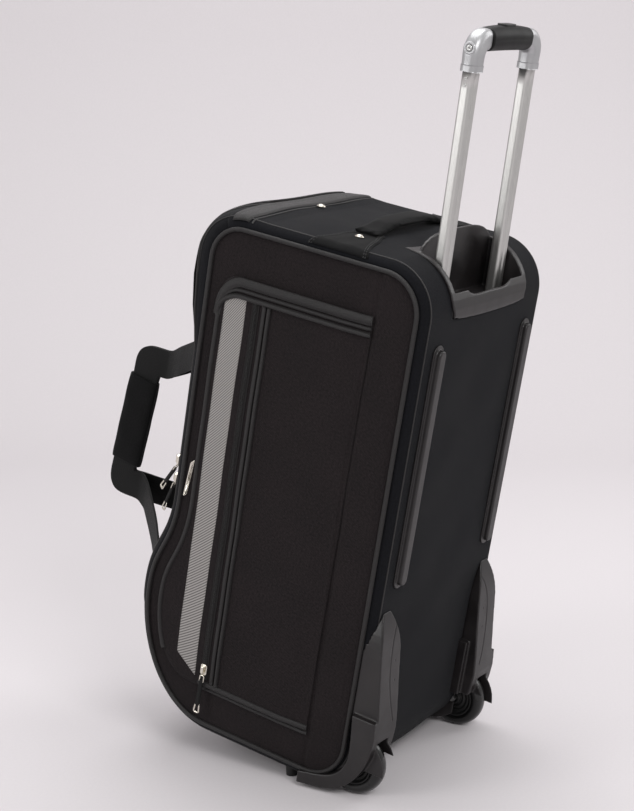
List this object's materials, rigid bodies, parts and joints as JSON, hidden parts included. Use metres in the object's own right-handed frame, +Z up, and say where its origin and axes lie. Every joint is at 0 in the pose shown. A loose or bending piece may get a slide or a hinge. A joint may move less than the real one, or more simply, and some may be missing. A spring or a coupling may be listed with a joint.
{
  "type": "wheeled softside suitcase",
  "caption": "Softside upright bag with telescopic handle, wheels, front lid with zip, side pockets, carry and haul handles.",
  "frame": {"origin": "middle of the object's footprint, on the floor it stands on", "axes": "+Z up; +X to the object's right side, where the lid opens; +Y towards its back, where the wheels and tubes are"},
  "size_m": [0.315, 0.5892, 0.8847],
  "materials": {
    "case_fabric": "black twill polyester, fine diagonal weave",
    "board": "plain pressed stiffening board",
    "silver_cloth": "light grey woven tape with a fine diagonal twill",
    "zip_tape": "black knitted zip tape with a nylon coil",
    "webbing": "black woven webbing with a low sheen",
    "nickel": "bright nickel plate",
    "steel": "zinc-plated steel",
    "polyurethane": "black, glossy, slightly worn at the tread",
    "black_plastic": "black, fine moulded grain",
    "grey_plastic": "dark warm grey, satin moulded",
    "anodised_tube": "satin anodised, drawn lengthwise",
    "silver_paint": "silver-painted, satin gloss",
    "soft_grip": "soft-touch black"
  },
  "bodies": {
    "bag": {"side_panel_right": "case_fabric", "side_panel_left": "case_fabric", "back_panel": "case_fabric", "bottom_panel": "case_fabric", "top_panel": "case_fabric", "front_rim": "case_fabric", "side_pocket_right": "case_fabric", "side_pocket_left": "case_fabric", "piping_right": "case_fabric", "piping_left": "case_fabric", "back_board": "board", "pocket_stripe_right": "silver_cloth", "pocket_stripe_left": "silver_cloth", "main_zip": "zip_tape", "pocket_zip_right": "zip_tape", "pocket_zip_left": "zip_tape", "haul_patch_right": "webbing", "haul_patch_left": "webbing", "haul_handle": "webbing", "badge": "nickel", "haul_rivet_right": "nickel", "haul_rivet_left": "nickel", "wheel_axle_right": "steel", "wheel_axle_left": "steel", "foot_right": "black_plastic", "foot_left": "black_plastic", "tube_foot": "black_plastic", "wheel_housing_right": "grey_plastic", "wheel_housing_left": "grey_plastic", "skid_rail_right": "grey_plastic", "skid_rail_left": "grey_plastic", "handle_cup": "grey_plastic", "outer_tube_right": "anodised_tube", "outer_tube_left": "anodised_tube"},
    "lid": {"lid": "case_fabric"},
    "carry_right": {"carry_strap_right": "webbing", "grip_pad_right": "webbing"},
    "carry_left": {"carry_strap_left": "webbing", "grip_pad_left": "webbing"},
    "pull_handle": {"inner_tube_right": "anodised_tube", "inner_tube_left": "anodised_tube", "handle_end_right": "silver_paint", "handle_end_left": "silver_paint", "end_screw_right": "steel", "end_screw_left": "steel", "handle_grip": "soft_grip"},
    "release_button": {"release_button": "black_plastic"},
    "wheel_right": {"tyre_right": "polyurethane", "wheel_hub_right": "black_plastic"},
    "wheel_left": {"tyre_left": "polyurethane", "wheel_hub_left": "black_plastic"},
    "pocket_slider_right": {"pocket_right_slider": "nickel"},
    "pocket_pull_right": {"pocket_right_pull": "nickel"},
    "pocket_slider_left": {"pocket_left_slider": "nickel"},
    "pocket_pull_left": {"pocket_left_pull": "nickel"},
    "main_upper_slider": {"main_upper_slider": "nickel"},
    "main_upper_pull": {"main_upper_pull": "nickel"},
    "main_lower_slider": {"main_lower_slider": "nickel"},
    "main_lower_pull": {"main_lower_pull": "nickel"}
  },
  "joints": [
    {"name": "lid_hinge", "type": "hinge", "parent": "bag", "child": "lid", "pos_m": [-0.122, -0.10554, 0.35237], "axis": [0, -0.1736, -0.9848], "range_deg": [0, 110]},
    {"name": "carry_right_hinge", "type": "hinge", "parent": "lid", "child": "carry_right", "pos_m": [0.104, -0.05994, 0.49868], "axis": [0, 0.2694, 0.963], "range_deg": [0, 95]},
    {"name": "carry_left_hinge", "type": "hinge", "parent": "lid", "child": "carry_left", "pos_m": [-0.104, -0.05994, 0.49868], "axis": [0, -0.2694, -0.963], "range_deg": [0, 50]},
    {"name": "handle_slide", "type": "slide", "parent": "bag", "child": "pull_handle", "axis": [0, 0.1461, 0.9893], "range_m": [-0.25, 0.13]},
    {"name": "button_press", "type": "slide", "parent": "pull_handle", "child": "release_button", "axis": [0, -0.1461, -0.9893], "range_m": [0, 0.003], "stiffness_N_per_m": 800},
    {"name": "wheel_right_spin", "type": "hinge", "parent": "bag", "child": "wheel_right", "pos_m": [0.125, 0.16854, 0.038], "axis": [1, 0, 0], "continuous": true},
    {"name": "wheel_left_spin", "type": "hinge", "parent": "bag", "child": "wheel_left", "pos_m": [-0.125, 0.16854, 0.038], "axis": [1, 0, 0], "continuous": true},
    {"name": "pocket_zip_right", "type": "slide", "parent": "bag", "child": "pocket_slider_right", "axis": [0, 0.1736, 0.9848], "range_m": [0, 0.44]},
    {"name": "pocket_pull_right_swing", "type": "hinge", "parent": "pocket_slider_right", "child": "pocket_pull_right", "pos_m": [0.1534, -0.03269, 0.11187], "axis": [0, -0.9848, 0.1736], "range_deg": [0, 110]},
    {"name": "pocket_zip_left", "type": "slide", "parent": "bag", "child": "pocket_slider_left", "axis": [0, 0.1736, 0.9848], "range_m": [0, 0.44]},
    {"name": "pocket_pull_left_swing", "type": "hinge", "parent": "pocket_slider_left", "child": "pocket_pull_left", "pos_m": [-0.1534, -0.03269, 0.11187], "axis": [0, 0.9848, -0.1736], "range_deg": [0, 110]},
    {"name": "main_zip_upper", "type": "slide", "parent": "bag", "child": "main_upper_slider", "axis": [0, 0.1736, 0.9848], "range_m": [0, 0.13]},
    {"name": "main_upper_pull_swing", "type": "hinge", "parent": "main_upper_slider", "child": "main_upper_pull", "pos_m": [0.1271, -0.08403, 0.36259], "axis": [-1, 0, 0], "range_deg": [0, 110]},
    {"name": "main_zip_lower", "type": "slide", "parent": "bag", "child": "main_lower_slider", "axis": [0, -0.2789, -0.9603], "range_m": [0, 0.06]},
    {"name": "main_lower_pull_swing", "type": "hinge", "parent": "main_lower_slider", "child": "main_lower_pull", "pos_m": [0.1271, -0.08887, 0.34001], "axis": [-1, 0, 0], "range_deg": [0, 25]}
  ]
}
